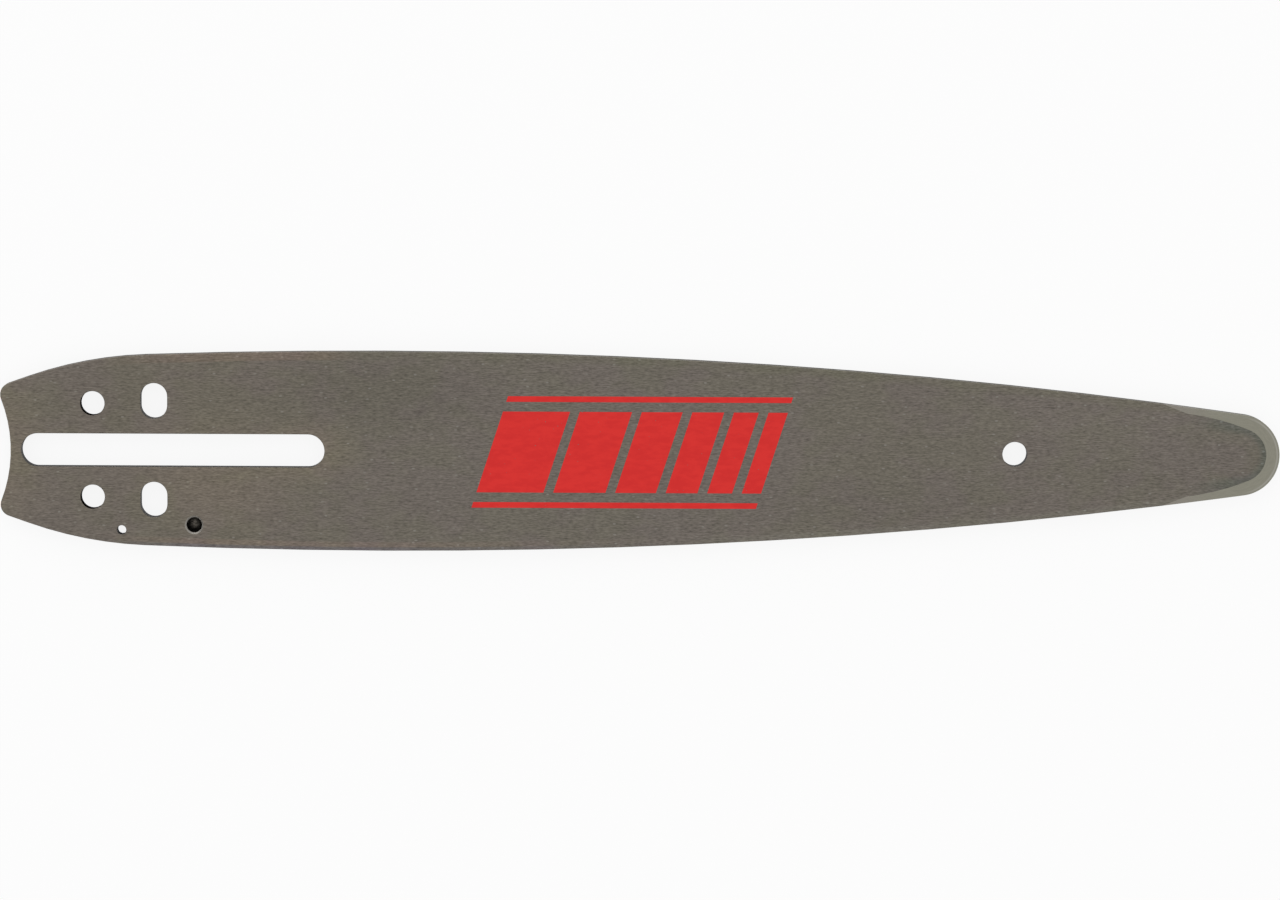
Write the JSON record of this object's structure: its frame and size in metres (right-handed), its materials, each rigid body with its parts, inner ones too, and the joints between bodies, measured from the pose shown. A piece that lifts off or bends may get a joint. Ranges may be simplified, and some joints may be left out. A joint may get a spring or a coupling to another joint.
{
  "type": "chainsaw guide bar",
  "caption": "Flat solid steel guide bar with a chain groove round its edge, a slim hard-faced nose, and a long stud slot and tensioner holes at the tail.",
  "frame": {"origin": "centre of the bar's footprint, on the plane of its back face", "axes": "+X from the tail to the nose, +Y across the bar, +Z through its thickness towards the face in the picture"},
  "size_m": [0.315, 0.0492, 0.0042],
  "materials": {
    "bar_steel": "ground along its length, then darkened by hardening",
    "nose_alloy": "weld-deposited hard alloy, ground smooth"
  },
  "bodies": {
    "root": {"bar_body": "bar_steel", "nose_hardfacing_front": "nose_alloy", "nose_hardfacing_back": "nose_alloy"}
  },
  "joints": []
}
